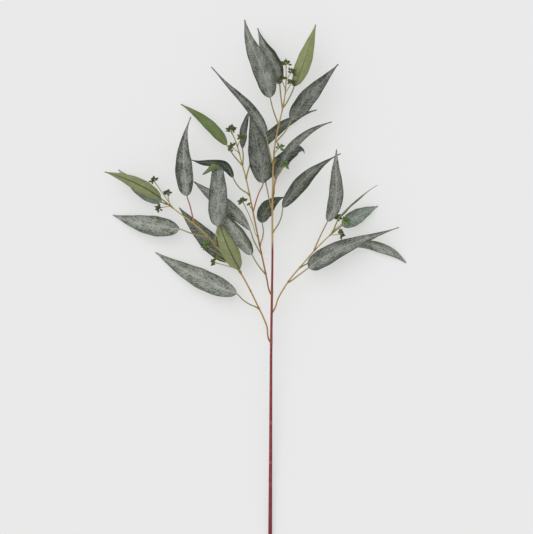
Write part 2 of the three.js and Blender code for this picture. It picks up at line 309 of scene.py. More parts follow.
def corner_places(piece: bpy.types.Object) -> Array:
    """Reads where a mesh's corners are.

    Args:
        piece: The mesh object.

    Returns:
        One row for each corner.
    """
    places = np.zeros(len(piece.data.vertices) * 3, np.float32)
    piece.data.vertices.foreach_get("co", places)
    return places.reshape(-1, 3).astype(float)


def mark(piece: bpy.types.Object, name: str, values: Array) -> None:
    """Stores a number or a vector for each corner, for the materials to read.

    Args:
        piece: The mesh object.
        name: The attribute's name.
        values: One number or one row of three for each corner.
    """
    kind, key = ("FLOAT_VECTOR", "vector") if values.ndim > 1 else ("FLOAT", "value")
    layer = piece.data.attributes.get(name) or piece.data.attributes.new(name, kind, "POINT")
    layer.data.foreach_set(key, np.ascontiguousarray(values, np.float32).ravel())


def add_tube(name: str, sides: int, rows: int) -> tuple[bpy.types.Object, Array, Array]:
    """Adds a closed round bar with cuts along it, not yet shaped.

    Args:
        name: The object's name.
        sides: Faces round the bar.
        rows: Faces along the bar.

    Returns:
        The object, and for each corner the number of its row and its angle round the bar.
    """
    start_primitive()
    bpy.ops.mesh.primitive_cylinder_add(vertices=sides, radius=1, depth=1, end_fill_type="NGON")
    piece = bpy.context.object
    piece.name = piece.data.name = name
    bpy.ops.object.mode_set(mode="EDIT")
    bpy.ops.mesh.select_all(action="DESELECT")
    shape = bmesh.from_edit_mesh(piece.data)
    for edge in shape.edges:
        edge.select_set(abs(edge.verts[0].co.z - edge.verts[1].co.z) > 0.5)
    bmesh.update_edit_mesh(piece.data)
    if rows > 1:
        bpy.ops.mesh.subdivide(number_cuts=rows - 1)
    bpy.ops.object.mode_set(mode="OBJECT")
    places = corner_places(piece)
    row = np.rint((places[:, 2] + 0.5) * rows).astype(int)
    return piece, row, np.arctan2(places[:, 1], places[:, 0])


def shape_tube(piece: bpy.types.Object, row: Array, angle: Array, line: Section, radius: Array) -> None:
    """Bends a bar along a line of cross-sections.

    Args:
        piece: The bar.
        row: Each corner's row.
        angle: Each corner's angle round the bar.
        line: One cross-section for each row.
        radius: Each corner's distance from the line.
    """
    across = (radius * np.cos(angle))[:, None] * line.side[row]
    upward = (radius * np.sin(angle))[:, None] * line.up[row]
    place_corners(piece, line.point[row] + across + upward)


def smooth(piece: bpy.types.Object, sharp_above: float = 50) -> None:
    """Shades a piece smooth, apart from edges sharper than an angle in degrees."""
    select(piece)
    bpy.ops.object.shade_smooth_by_angle(angle=math.radians(sharp_above))


def join(pieces: list[bpy.types.Object], name: str) -> bpy.types.Object:
    """Joins several meshes into the first, and names it.

    Args:
        pieces: The meshes.
        name: The joined mesh's name.

    Returns:
        The joined mesh.
    """
    select(*pieces)
    bpy.ops.object.join()
    pieces[0].name = pieces[0].data.name = name
    return pieces[0]


def apply_modifier(piece: bpy.types.Object, kind: str, **settings: object) -> None:
    """Adds a modifier to a piece with these settings, and applies it.

    Args:
        piece: The mesh object.
        kind: The modifier's type.
        **settings: Its settings.
    """
    select(piece)
    modifier = piece.modifiers.new(kind.title(), kind)
    for key, value in settings.items():
        setattr(modifier, key, value)
    bpy.ops.object.modifier_apply(modifier=modifier.name)


# ---------------------------------------------------------------------------------------------
# Materials
# ---------------------------------------------------------------------------------------------

def linear(colour: str) -> tuple[float, float, float, float]:
    """Turns a hex colour into the shaders' own numbers.

    Args:
        colour: A hex sRGB colour, such as "#6b7260".

    Returns:
        Linear red, green, blue and alpha.
    """
    parts = [int(colour[i:i + 2], 16) / 255 for i in (1, 3, 5)]
    red, green, blue = (c / 12.92 if c <= 0.04045 else ((c + 0.055) / 1.055) ** 2.4 for c in parts)
    return red, green, blue, 1.0


def add_node(tree: bpy.types.NodeTree, kind: str, settings: dict | None = None,
             inputs: dict | None = None) -> bpy.types.Node:
    """Adds one shader node.

    Args:
        tree: The material's node tree.
        kind: The node's type, without "ShaderNode".
        settings: The node's own properties.
        inputs: For each input, by name or index, a value, a hex colour or the output linked to it.

    Returns:
        The node.
    """
    node = tree.nodes.new("ShaderNode" + kind)
    for key, value in (settings or {}).items():
        setattr(node, key, value)
    for key, value in (inputs or {}).items():
        if isinstance(value, bpy.types.NodeSocket):
            tree.links.new(value, node.inputs[key])
        else:
            node.inputs[key].default_value = linear(value) if isinstance(value, str) else value
    return node


def new_material(name: str) -> tuple[bpy.types.Material, bpy.types.NodeTree]:
    """Makes a new material.

    Args:
        name: Its name.

    Returns:
        The material and its empty node tree.
    """
    material = bpy.data.materials.new(name)
    material.use_nodes = True
    material.node_tree.nodes.clear()
    return material, material.node_tree


def add_surface(tree: bpy.types.NodeTree, inputs: dict) -> None:
    """Adds the shader with these inputs, and the material's output."""
    shader = add_node(tree, "BsdfPrincipled", None, inputs)
    add_node(tree, "OutputMaterial", None, {0: shader.outputs[0]})


def mixed(tree: bpy.types.NodeTree, share: object, first: object, second: object,
          blend: str = "MIX") -> bpy.types.NodeSocket:
    """Mixes two colours.

    Args:
        tree: The material's node tree.
        share: How much of the second colour, as a number or an output.
        first: A hex colour or an output.
        second: A hex colour or an output.
        blend: How they mix.

    Returns:
        The mixed colour's output.
    """
    node = add_node(tree, "Mix", {"data_type": "RGBA", "blend_type": blend},
                    {0: share, MIX_A: first, MIX_B: second})
    return node.outputs[MIX_RESULT]


def worked(tree: bpy.types.NodeTree, operation: str, *values: object) -> bpy.types.NodeSocket:
    """Works out a number for each point of a surface.

    Args:
        tree: The material's node tree.
        operation: The Math node's operation, or "CLAMP" to keep one value within 0 to 1.
        *values: One, two or three numbers or outputs.

    Returns:
        The result's output.
    """
    settings = {"operation": operation}
    if operation == "CLAMP":
        settings = {"operation": "ADD", "use_clamp": True}
        values = (values[0], 0.0)
    return add_node(tree, "Math", settings, dict(enumerate(values))).outputs[0]


def spread(tree: bpy.types.NodeTree, value: object, low: float, high: float, to_low: float = 0.0,
           to_high: float = 1.0) -> bpy.types.NodeSocket:
    """Stretches an output's range, with soft ends.

    Args:
        tree: The material's node tree.
        value: The output.
        low: The value that becomes `to_low`.
        high: The value that becomes `to_high`.
        to_low: Where the new range starts.
        to_high: Where the new range ends.

    Returns:
        The stretched value's output.
    """
    return add_node(tree, "MapRange", {"interpolation_type": "SMOOTHSTEP"},
                    {0: value, 1: low, 2: high, 3: to_low, 4: to_high}).outputs[0]


def grain(tree: bpy.types.NodeTree, vector: object, size: tuple[float, float, float], detail: float = 3.0,
          distortion: float = 0.0) -> bpy.types.NodeSocket:
    """Noise from 0 to 1 whose blotches measure `size`, in the vector's own units.

    Args:
        tree: The material's node tree.
        vector: The output that the noise follows.
        size: The blotches' size along each axis.
        detail: How many finer layers it has.
        distortion: How far it is stirred.

    Returns:
        The noise's output.
    """
    mapping = add_node(tree, "Mapping", {"vector_type": "POINT"},
                       {"Vector": vector, "Scale": tuple(1 / s for s in size)})
    noise = add_node(tree, "TexNoise", {"noise_dimensions": "3D"}, {
        "Vector": mapping.outputs[0], "Scale": 1.0, "Detail": detail, "Roughness": 0.55,
        "Distortion": distortion})
    return noise.outputs[0]


@dataclass(frozen=True)
class PrintedLeaf:
    """A face of a moulded polyethylene leaf with a printed bloom.

    Dark green plastic shows through a chalky print that breaks up along fine side veins, so the
    eye sees a grey-green, mottled and matte surface with a paler midrib and greener edges.
    The flecks are drawn 1 to 2 mm large, where the real print is finer, so that they show.
    """
    name: str
    ground: str  # the plastic
    bloom: str  # the chalky print
    rib: str
    edge: str
    cover: float = 0.6  # how much of the face the print covers
    contrast: float = 0.5
    rib_strength: float = 0.65
    vein_spacing: float = 3.4
    roughness: float = 0.62
    rib_half_width: float = 0.45

    def build(self) -> bpy.types.Material:
        """Builds the material.

        Returns:
            The material.
        """
        material, tree = new_material(self.name)
        blade = add_node(tree, "Attribute", {"attribute_name": "blade"})
        share = add_node(tree, "Attribute", {"attribute_name": "share"})
        place = add_node(tree, "SeparateXYZ", None, {0: blade.outputs["Vector"]})
        portion = add_node(tree, "SeparateXYZ", None, {0: share.outputs["Vector"]})
        across, along, seed = place.outputs
        to_edge = worked(tree, "ABSOLUTE", portion.outputs[0])
        from_rib = worked(tree, "ABSOLUTE", across)
        # Along a side vein, the distance from the blade's foot grows with the distance from the rib.
        vein_run = worked(tree, "MULTIPLY_ADD", from_rib, -VEIN_SLANT, along)
        slanted = add_node(tree, "CombineXYZ", None, {0: across, 1: vein_run, 2: seed}).outputs[0]
        patches = grain(tree, blade.outputs["Vector"], (9, 22, 1), 2.0, 0.4)
        streaks = grain(tree, slanted, (5.5, 1.2, 1), 3.0, 0.4)
        flecks = grain(tree, blade.outputs["Vector"], (1.5, 1.9, 1), 2.0)
        waved = worked(tree, "MULTIPLY_ADD", patches, 3.0, vein_run)
        veins = worked(tree, "SINE", worked(tree, "MULTIPLY", waved, 2 * math.pi / self.vein_spacing))
        # Print taken away from one half of the blade, so that half shows the darker green plastic: partly
        # missing print, partly painted shade of a half turned away from the light.
        shade_and_bare = add_node(tree, "Attribute", {"attribute_name": "shade_and_bare"}).outputs["Fac"]

        cover: object = self.cover
        for pattern, depth in ((patches, 3.0), (streaks, 5.0), (flecks, 4.2)):
            cover = worked(tree, "MULTIPLY_ADD", worked(tree, "SUBTRACT", pattern, 0.5),
                           depth * self.contrast, cover)
        cover = worked(tree, "MULTIPLY_ADD", veins, 0.2 * self.contrast, cover)
        # The print lies thickest beside the rib and thinnest towards the margins.
        cover = worked(tree, "ADD", cover, spread(tree, to_edge, 0.0, 1.0, 0.25 * self.contrast,
                                                  -0.4 * self.contrast))
        cover = worked(tree, "CLAMP", worked(tree, "SUBTRACT", cover, shade_and_bare))
        colour = mixed(tree, cover, self.ground, self.bloom)
        # A sprinkle of lighter specks, where the print lies thick.
        specks = spread(tree, grain(tree, blade.outputs["Vector"], (1.1, 1.1, 1), 1.0), 0.62, 0.78)
        colour = mixed(tree, worked(tree, "MULTIPLY", specks, 0.35 * self.contrast), colour, self.rib)
        edge = spread(tree, to_edge, 0.8, 1.0, 0.0, 0.75)
        colour = mixed(tree, edge, colour, self.edge)
        on_rib = spread(tree, from_rib, self.rib_half_width * 0.4, self.rib_half_width * 1.5,
                        self.rib_strength, 0.0)
        fading = spread(tree, portion.outputs[1], 0.55, 1.0, 1.0, 0.15)
        colour = mixed(tree, worked(tree, "MULTIPLY", on_rib, fading), colour, self.rib)

        height = worked(tree, "MULTIPLY_ADD", veins, 0.5, worked(tree, "MULTIPLY", streaks, 0.8))
        bump = add_node(tree, "Bump", None, {"Strength": 0.35, "Distance": 0.1 * MM, "Height": height})
        rough = spread(tree, cover, 0.0, 1.0, self.roughness - 0.14, self.roughness + 0.1)
        add_surface(tree, {"Base Color": colour, "Roughness": rough, "Normal": bump.outputs[0],
                           "Specular IOR Level": 0.35, "IOR": 1.5})
        return material


@dataclass(frozen=True)
class CoatedStem:
    """Moulded polyethylene over wire: satin, with faint lengthwise lines and paler worn rings.

    The eye sees one colour that drifts along the stem, brown joints where leaves plug in, and a
    soft gloss.
    """
    name: str
    foot: str
    middle: str
    tip: str
    joint: str
    ring: str
    change: tuple[float, float] = (0.0, 1.0)  # where the middle colour turns into the tip's
    foot_end: float = 0.1  # where the foot colour has turned into the middle's
    roughness: float = 0.45

    def build(self) -> bpy.types.Material:
        """Builds the material.

        Returns:
            The material.
        """
        material, tree = new_material(self.name)
        run = add_node(tree, "Attribute", {"attribute_name": "run"})
        parts = add_node(tree, "SeparateXYZ", None, {0: run.outputs["Vector"]})
        share, ring, joint = parts.outputs
        spot = add_node(tree, "TexCoord").outputs["Object"]
        blotch = grain(tree, spot, (6 * MM, 16 * MM, 6 * MM), 3.0)
        lines = grain(tree, spot, (0.7 * MM, 12 * MM, 0.7 * MM), 2.0)
        drift = worked(tree, "MULTIPLY_ADD", worked(tree, "SUBTRACT", blotch, 0.5), 0.03, share)
        colour = mixed(tree, spread(tree, drift, 0.0, self.foot_end), self.foot, self.middle)
        colour = mixed(tree, spread(tree, drift, *self.change), colour, self.tip)
        colour = mixed(tree, spread(tree, blotch, 0.35, 0.75, 0.0, 0.22), colour, self.joint)
        colour = mixed(tree, spread(tree, lines, 0.45, 0.75, 0.0, 0.12), colour, self.ring)
        colour = mixed(tree, joint, colour, self.joint)
        colour = mixed(tree, ring, colour, self.ring)
        bump = add_node(tree, "Bump", None, {"Strength": 0.3, "Distance": 0.15 * MM, "Height": lines})
        add_surface(tree, {"Base Color": colour, "Roughness": self.roughness, "Normal": bump.outputs[0],
                           "Specular IOR Level": 0.4, "IOR": 1.5})
        return material


@dataclass(frozen=True)
class MouldedBud:
    """Moulded polyethylene bud: a yellow-green foot that deepens to a dark cap, with a soft sheen."""
    name: str
    foot: str
    body: str
    cap: str
    roughness: float = 0.48

    def build(self) -> bpy.types.Material:
        """Builds the material.

        Returns:
            The material.
        """
        material, tree = new_material(self.name)
        run = add_node(tree, "Attribute", {"attribute_name": "run"})
        share, tone, _ = add_node(tree, "SeparateXYZ", None, {0: run.outputs["Vector"]}).outputs
        spot = add_node(tree, "TexCoord").outputs["Object"]
        mottle = grain(tree, spot, (1.1 * MM, 1.1 * MM, 1.1 * MM), 2.0)
        drift = worked(tree, "MULTIPLY_ADD", worked(tree, "SUBTRACT", mottle, 0.5), 0.35, share)
        colour = mixed(tree, spread(tree, drift, 0.02, 0.3), self.foot, self.body)
        colour = mixed(tree, spread(tree, drift, 0.5, 0.9), colour, self.cap)
        colour = mixed(tree, tone, colour, self.cap)
        bump = add_node(tree, "Bump", None, {"Strength": 0.25, "Distance": 0.1 * MM, "Height": mottle})
        add_surface(tree, {"Base Color": colour, "Roughness": self.roughness, "Normal": bump.outputs[0],
                           "Specular IOR Level": 0.4, "IOR": 1.5})
        return material


class Finish(Enum):
    """Every finish on the branch."""
    FROSTED = PrintedLeaf("printed_polyethylene_frosted", "#2f3a29", "#9b9d96", "#b4b6ae", "#3b4831",
                          cover=0.56)
    PALE = PrintedLeaf("printed_polyethylene_pale_frosted", "#38452f", "#a8aba3", "#bfc2b8", "#4d5b44",
                       cover=0.6)
    DARK = PrintedLeaf("printed_polyethylene_dark_frosted", "#283221", "#8a8d85", "#9fa299", "#323d29",
                       cover=0.5)
    BLUE = PrintedLeaf("printed_polyethylene_blue_green", "#4a5d42", "#a5aea5", "#bcc4ba", "#586b4f",
                       cover=0.6, contrast=0.4)
    DEEP = PrintedLeaf("printed_polyethylene_deep_green", "#222d1b", "#707569", "#868a80", "#27331f",
                       cover=0.36)
    OLIVE = PrintedLeaf("moulded_polyethylene_olive_underside", "#6c7549", "#959a70", "#3f4a28", "#7f8a58",
                        cover=0.55, contrast=0.3, rib_strength=0.9, vein_spacing=4.2, roughness=0.6,
                        rib_half_width=0.9)
    LIME = PrintedLeaf("moulded_polyethylene_bright_underside", "#465a2d", "#76834f", "#66703f", "#4d6134",
                       cover=0.5, contrast=0.3, rib_strength=0.35, vein_spacing=4.2, roughness=0.58,
                       rib_half_width=0.5)
    SAGE = PrintedLeaf("moulded_polyethylene_sage_underside", "#757e4f", "#989e6f", "#8f8a5c", "#7f8a58",
                       cover=0.5, contrast=0.3, rib_strength=0.3, vein_spacing=4.2, roughness=0.6,
                       rib_half_width=0.5)
    RED_STEM = CoatedStem("coated_wire_red_to_tan", "#741825", "#86202f", "#b39a66", "#8f6c38", "#b06f6a",
                          change=(0.618, 0.642), foot_end=0.25)
    TAN_STEM = CoatedStem("coated_wire_tan", "#a05a48", "#ab8c4a", "#b2a054", "#8a6428", "#c7b07c",
                          change=(0.3, 0.9), foot_end=0.12)
    BROWN_STEM = CoatedStem("coated_wire_brown_to_olive", "#944a40", "#966f3a", "#aa9c4a", "#80591f",
                            "#b9a070", change=(0.3, 0.8), foot_end=0.06)
    OLIVE_STALK = CoatedStem("moulded_stalk_olive", "#a08a45", "#918a52", "#8d8c60", "#7d6a30", "#b5ab78",
                             change=(0.4, 1.0), foot_end=0.2)
    DARK_RIB = CoatedStem("moulded_stalk_with_dark_rib", "#a08a45", "#918a52", "#434d2a", "#7d6a30",
                          "#b5ab78", change=(0.97, 1.0), foot_end=0.2)
    PLAIN_RIB = CoatedStem("moulded_stalk_with_plain_rib", "#a08a45", "#918a52", "#757d4d", "#7d6a30",
                           "#a5a070", change=(0.97, 1.0), foot_end=0.2)
    TAN_STALK = CoatedStem("moulded_stalk_tan", "#a8843f", "#b08a5c", "#a08060", "#86652c", "#c8ad84",
                           change=(0.4, 1.0), foot_end=0.2)
    PINK_STALK = CoatedStem("moulded_stalk_pink", "#b09048", "#a8625c", "#9c5a58", "#96704a", "#c48f88",
                            change=(0.5, 1.0), foot_end=0.35)
    BLUSHED_TWIG = CoatedStem("moulded_twig_red_to_green", "#9a5048", "#a5704c", "#a8a24a", "#8a5a40",
                              "#c2a078", change=(0.45, 0.8), foot_end=0.3)
    TWIG = CoatedStem("moulded_twig_yellow_green", "#a8903f", "#a39a48", "#8f9c40", "#85702c", "#c2b678",
                      change=(0.4, 1.0), foot_end=0.2)
    GREEN_BUD = MouldedBud("moulded_bud_dark_green", "#98a04e", "#58643a", "#363f24")
    BRIGHT_BUD = MouldedBud("moulded_bud_bright_green", "#a8a94c", "#6c863f", "#46602d")
    BROWN_BUD = MouldedBud("moulded_bud_yellow_brown", "#a09034", "#6f7a2c", "#48501e")


class Paintbox:
    """Builds each finish once, and hands it out again after that."""

    def __init__(self) -> None:
        """Starts with no material built."""
        self.built: dict[Finish, bpy.types.Material] = {}

    def give(self, piece: bpy.types.Object, *finishes: Finish) -> None:
        """Puts finishes in a piece's material slots, in order.

        Args:
            piece: The mesh object.
            *finishes: The finishes.
        """
        piece.data.materials.clear()
        for finish in finishes:
            if finish not in self.built:
                self.built[finish] = finish.value.build()
            piece.data.materials.append(self.built[finish])


# ---------------------------------------------------------------------------------------------
# Stems
# ---------------------------------------------------------------------------------------------

@dataclass(frozen=True)
class Band:
    """A short stretch of a stem that is thicker or of another colour. Sizes in millimetres."""
    at: float
    width: float
    swell: float
    ring: float = 0.0  # how far it takes the ring colour
    joint: float = 0.0  # how far it takes the joint colour


@dataclass
class Stem:
    """One stem: a satin coated bar with joints where its leaves and twigs plug in."""
    name: str
    finish: Finish
    bands: tuple[Band, ...] = ()
    sides: int = 16
    row_step: float = 2.5 * MM
    fine_step: float = 0.5 * MM
    joint_swell: float = 0.35 * MM
    joint_half_width: float = 3.0 * MM
    ridge: float = 0.04 * MM
    sockets: list[float] = field(default_factory=list)

    def __post_init__(self) -> None:
        """Reads the stem's line from the frame."""
        self.node = f"{self.name}_stem"
        self.line = stem_line(self.node)

    def plug_into(self, parent: "Stem") -> None:
        """Runs the stem's foot on into its parent stem, and gives the parent a joint there.

        Args:
            parent: The stem that it grows out of.
        """
        inside = parent.root_for(self.line.points[0], self.line.points[1])
        points = np.vstack([inside, self.line.points])
        halves = np.concatenate([self.line.halves[:1] * 1.25, self.line.halves])
        self.line = Line(points, halves, np.tile((0.0, 0.0, 1.0), (len(points), 1)))

    def root_for(self, foot: Array, following: Array) -> Array:
        """Makes room for something that grows out of the stem.

        Args:
            foot: Where it comes clear of the bark.
            following: The next point along it.

        Returns:
            The place on the stem's own line that it runs back to, at a slant.
        """
        distance, beside = self.line.nearest(foot)
        _, further = self.line.nearest(following)
        slant = float(np.clip(np.linalg.norm(further - beside), 0, 1.6 * np.linalg.norm(foot - beside)))
        forward = self.line.at(np.array([distance])).along[0] @ (following - foot) > 0
        root = distance - slant if forward else distance + slant
        root = float(np.clip(root, 0, self.line.length - 1 * MM))
        self.sockets.append((root + distance) / 2)
        return self.line.at(np.array([root])).point[0]

    def rows(self) -> Array:
        """Spaces the rings along the stem evenly, and closer together at its bands.

        Returns:
            The distances, rising.
        """
        even = np.arange(0, self.line.length, self.row_step)
        close = [np.arange(b.at * MM - 2 * b.width * MM, b.at * MM + 2 * b.width * MM, self.fine_step)
                 for b in self.bands]
        every = np.concatenate([even, *close, [self.line.length]])
        every = np.unique(np.round(np.clip(every, 0, self.line.length), 5))
        return every

    def build(self, paints: Paintbox) -> bpy.types.Object:
        """Models the stem and dresses it.

        Args:
            paints: Where its finish comes from.

        Returns:
            The finished piece.
        """
        rows = self.rows()
        piece, row, angle = add_tube(f"{self.name}_branch", self.sides, len(rows) - 1)
        section = self.line.at(rows)
        swell = np.zeros(len(rows))
        ring = np.zeros(len(rows))
        joint = np.zeros(len(rows))
        for socket in self.sockets:
            near = hump(rows - socket, self.joint_half_width)
            swell = np.maximum(swell, near * self.joint_swell)
            joint = np.maximum(joint, near * 0.75)
        for band in self.bands:
            near = hump(rows - band.at * MM, band.width * MM)
            swell = np.maximum(swell, near * band.swell * MM)
            ring = np.maximum(ring, near * band.ring)
            joint = np.maximum(joint, near * band.joint)
        rounded = np.sqrt(np.clip((self.line.length - rows) / (1.2 * MM), 0.04, 1))
        ridges = self.ridge * np.sin(5 * angle + 40 * row / len(rows))
        radius = (section.half * rounded + swell)[row] + ridges
        shape_tube(piece, row, angle, section, radius)
        share = rows / self.line.length
        mark(piece, "run", np.stack([share[row], ring[row], joint[row]], axis=1))
        smooth(piece)
        paints.give(piece, self.finish)
        return piece


# ---------------------------------------------------------------------------------------------
# Leaves
# ---------------------------------------------------------------------------------------------

@dataclass(frozen=True)
class Crease:
    """A fold that turns a leaf's tip up and over its blade, in metres and radians."""
    distance: float  # from the blade's foot
    bearing: float  # of the fold's line, seen from above
    radius: float
    halves: tuple[float, ...]  # the tip's half width in millimetres, at even steps from the fold
    length: float  # of the tip beyond the fold
    set_aside: float = 11 * MM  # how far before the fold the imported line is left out

    def unfold(self, middles: Array, halves: Array, ups: Array, foot: int) -> tuple[Array, Array, Array]:
        """Replaces the folded part of a leaf's line with a straight one, to be folded later.

        Args:
            middles: The leaf's line.
            halves: Its half width at each point.
            ups: Its upper side at each point.
            foot: The number of the blade's first point.

        Returns:
            The same three, with a straight tip.
        """
        steps = np.linalg.norm(np.diff(middles[foot:], axis=0), axis=1)
        flat = foot + 1 + int(np.searchsorted(np.cumsum(steps), self.distance - self.set_aside))
        reached = float(np.sum(steps[:flat - 1 - foot]))
        ahead = unit(middles[flat - 1] - middles[flat - 2])
        further = self.distance - reached + np.linspace(0, self.length, len(self.halves))
        tip = middles[flat - 1] + ahead * further[:, None]
        widths = np.array(self.halves) * MM
        upper = np.tile(ups[flat - 1], (len(widths), 1))
        return (np.vstack([middles[:flat], tip]), np.concatenate([halves[:flat], widths]),
                np.vstack([ups[:flat], upper]))

    def turn_over(self, places: Array, middle: Array) -> Array:
        """Turns the places that lie beyond the fold up and over it.

        Args:
            places: One row for each corner.
            middle: Where the fold crosses the rib.

        Returns:
            The places after folding.
        """
        across = np.array([math.sin(self.bearing), -math.cos(self.bearing), 0.0])
        beyond = (places - middle) @ across
        turn = np.clip(beyond / self.radius, 0, math.pi)
        inner = self.radius - (places[:, 2] - middle[2])
        moved = inner * np.sin(turn) - (beyond - turn * self.radius) - beyond
        turned = places + across * moved[:, None]
        turned[:, 2] = middle[2] + self.radius - inner * np.cos(turn)
        return np.where((beyond > 0)[:, None], turned, places)


@dataclass
class Leaf:
    """One leaf: a thin folded blade with wavy margins, and its stalk, which runs on as a rib."""
    node: str
    upper: Finish = Finish.FROSTED
    under: Finish = Finish.OLIVE
    stalk: Finish = Finish.OLIVE_STALK
    shade_and_bare: tuple[float, float] = (0.0, 0.0)  # how far each half of the blade is darkened, left and right: partly missing print, partly painted shade of a half turned away from the light
    slot: str = "frosted_leaf"
    rows: int = 110
    columns: int = 26
    thickness: float = 0.45 * MM
    fold: float = math.radians(14)
    rib_relief: float = 0.16 * MM
    rib_width: float = 0.7 * MM
    vein_relief: float = 0.07 * MM
    vein_spacing: float = 3.4 * MM
    wave: float = 0.8 * MM
    waves: float = 2.6
    wander: float = 0.02  # how far the margins stray, as a share of the half width
    wanders: float = 4.3
    end_bunching: float = 0.45  # how far rows crowd towards the blade's ends
    rib_bunching: float = 1.5  # above 1, columns crowd towards the rib
    tip_narrowing: float = 0.75
    valley_softness: float = 0.02
    floor_gap: float = 0.15 * MM
    stalk_sides: int = 12
    stalk_rows: int = 60
    stalk_end: float = 0.82  # where under the blade the rib has run out
    stalk_rings: int = 3  # packed rings before the blade's first
    crease: Crease | None = None

    def __post_init__(self) -> None:
        """Reads the leaf's cross-sections from the frame."""
        self.chance = random.Random(self.node)
        solid = PackedSolid(self.node)
        rings = solid.loft_rings()
        solid.done()
        middles, halves, ups, sides = [], [], [], []
        for k, ring in enumerate(rings):
            opposite = RING_CORNERS // 2
            spans = ring[:opposite] - ring[opposite:]
            if k <= self.stalk_rings:
                middles.append(ring.mean(axis=0))
                halves.append(np.linalg.norm(spans, axis=1).mean() / 2)
                continue
            width = np.linalg.norm(spans, axis=1)
            if k == len(rings) - 1:
                width = np.abs(spans @ sides[-1])
            i = int(np.argmax(width))
            margins, keels = ring[[i, i + 4]], ring[[i + 2, (i + 6) % RING_CORNERS]]
            middles.append(keels.mean(axis=0))
            halves.append(np.linalg.norm(margins[0] - margins[1]) / 2)
            ups.append(unit(margins.mean(axis=0) - keels.mean(axis=0)))
            sides.append(unit(margins[0] - margins[1]))
        first = np.tile(ups[0], (self.stalk_rings + 1, 1))
        self.middles, self.halves = np.array(middles), np.array(halves)
        self.ups = np.vstack([first, np.array(ups)])
        if self.crease:
            self.middles, self.halves, self.ups = self.crease.unfold(
                self.middles, self.halves, self.ups, self.stalk_rings)

    def plug_into(self, stem: Stem) -> None:
        """Runs the stalk's foot on into its stem, and gives the stem a joint there.

        Args:
            stem: The stem that it grows out of.
        """
        inside = stem.root_for(self.middles[0], self.middles[1])
        points = np.vstack([inside, self.middles])
        halves = np.concatenate([self.halves[:1] * 1.1, self.halves])
        self.line = Line(points, halves, np.vstack([self.ups[:1], self.ups]))
        self.blade_start = float(self.line.knots[self.stalk_rings + 1])
        self.blade_length = self.line.length - self.blade_start

    def blade(self, paints: Paintbox) -> bpy.types.Object:
        """Models the blade as a sheet with a thickness, with its vein lines and waves.

        Args:
            paints: Where its finishes come from.

        Returns:
            The blade.
        """
        start_primitive()
        bpy.ops.mesh.primitive_grid_add(x_subdivisions=self.columns, y_subdivisions=self.rows, size=1)
        sheet = bpy.context.object
        flat = corner_places(sheet)
        even = flat[:, 1] + 0.5
        crowded = 0.5 - 0.5 * np.cos(np.pi * even)
        share = (1 - self.end_bunching) * even + self.end_bunching * crowded
        across = 2 * flat[:, 0]
        across = np.sign(across) * np.abs(across) ** self.rib_bunching
        distance = share * self.blade_length
        section = self.line.at(self.blade_start + distance)
        taper = 1 - self.tip_narrowing * ease(share, 0.98, 1.0)
        half = section.half * taper
        phases = [self.chance.uniform(0, 2 * np.pi) for _ in range(4)]
        waves = self.waves * self.chance.uniform(0.8, 1.25)
        swing = np.where(across > 0, phases[0], phases[1])
        wave = self.wave * across**2 * np.sin(2 * np.pi * waves * share + swing) * ease(share, 0, 0.2)
        swerve = np.where(across > 0, phases[2], phases[3])
        wander = 1 + self.wander * np.sin(2 * np.pi * self.wanders * share + swerve)
        soft = self.valley_softness
        valley = (np.sqrt(across**2 + soft) - math.sqrt(soft)) / (math.sqrt(1 + soft) - math.sqrt(soft))
        lift = half * math.tan(self.fold) * valley
        side_mm = across * half
        rib = self.rib_relief * np.exp(-((side_mm / self.rib_width) ** 2)) * (1 - share)
        vein_run = distance - VEIN_SLANT * np.abs(side_mm)
        away = ease(np.abs(side_mm), 0.8 * MM, 2.5 * MM) * (1 - ease(np.abs(across), 0.85, 1.0))
        veins = self.vein_relief * np.sin(2 * np.pi * vein_run / self.vein_spacing) * away
        scale = np.minimum(half / (8 * MM), 1)
        raised = lift + (wave + veins) * scale + rib
        places = (section.point + section.side * (across * half * wander)[:, None]
                  + section.up * raised[:, None])
        if self.crease:
            fold = self.line.at(np.array([self.blade_start + self.crease.distance]))
            places = self.crease.turn_over(places, fold.point[0])
        lowest = self.thickness / 2 + self.floor_gap
        places[:, 2] = np.maximum(places[:, 2], lowest)
        place_corners(sheet, places)
        seed = self.chance.uniform(0, 500)
        mark(sheet, "blade", np.stack([side_mm / MM, distance / MM, np.full_like(share, seed)], axis=1))
        mark(sheet, "share", np.stack([across, share, np.zeros_like(share)], axis=1))
        # Darkened halves: partly missing print, partly painted shade of a half turned away from the light.
        left = self.shade_and_bare[0] * ease(-across, 0.35, 0.85)
        right = self.shade_and_bare[1] * ease(across, 0.35, 0.85)
        mark(sheet, "shade_and_bare", left + right)
        paints.give(sheet, self.upper, self.under)
        apply_modifier(sheet, "SOLIDIFY", thickness=self.thickness, offset=0, use_even_offset=True,
                       material_offset=1, material_offset_rim=0)
        return sheet

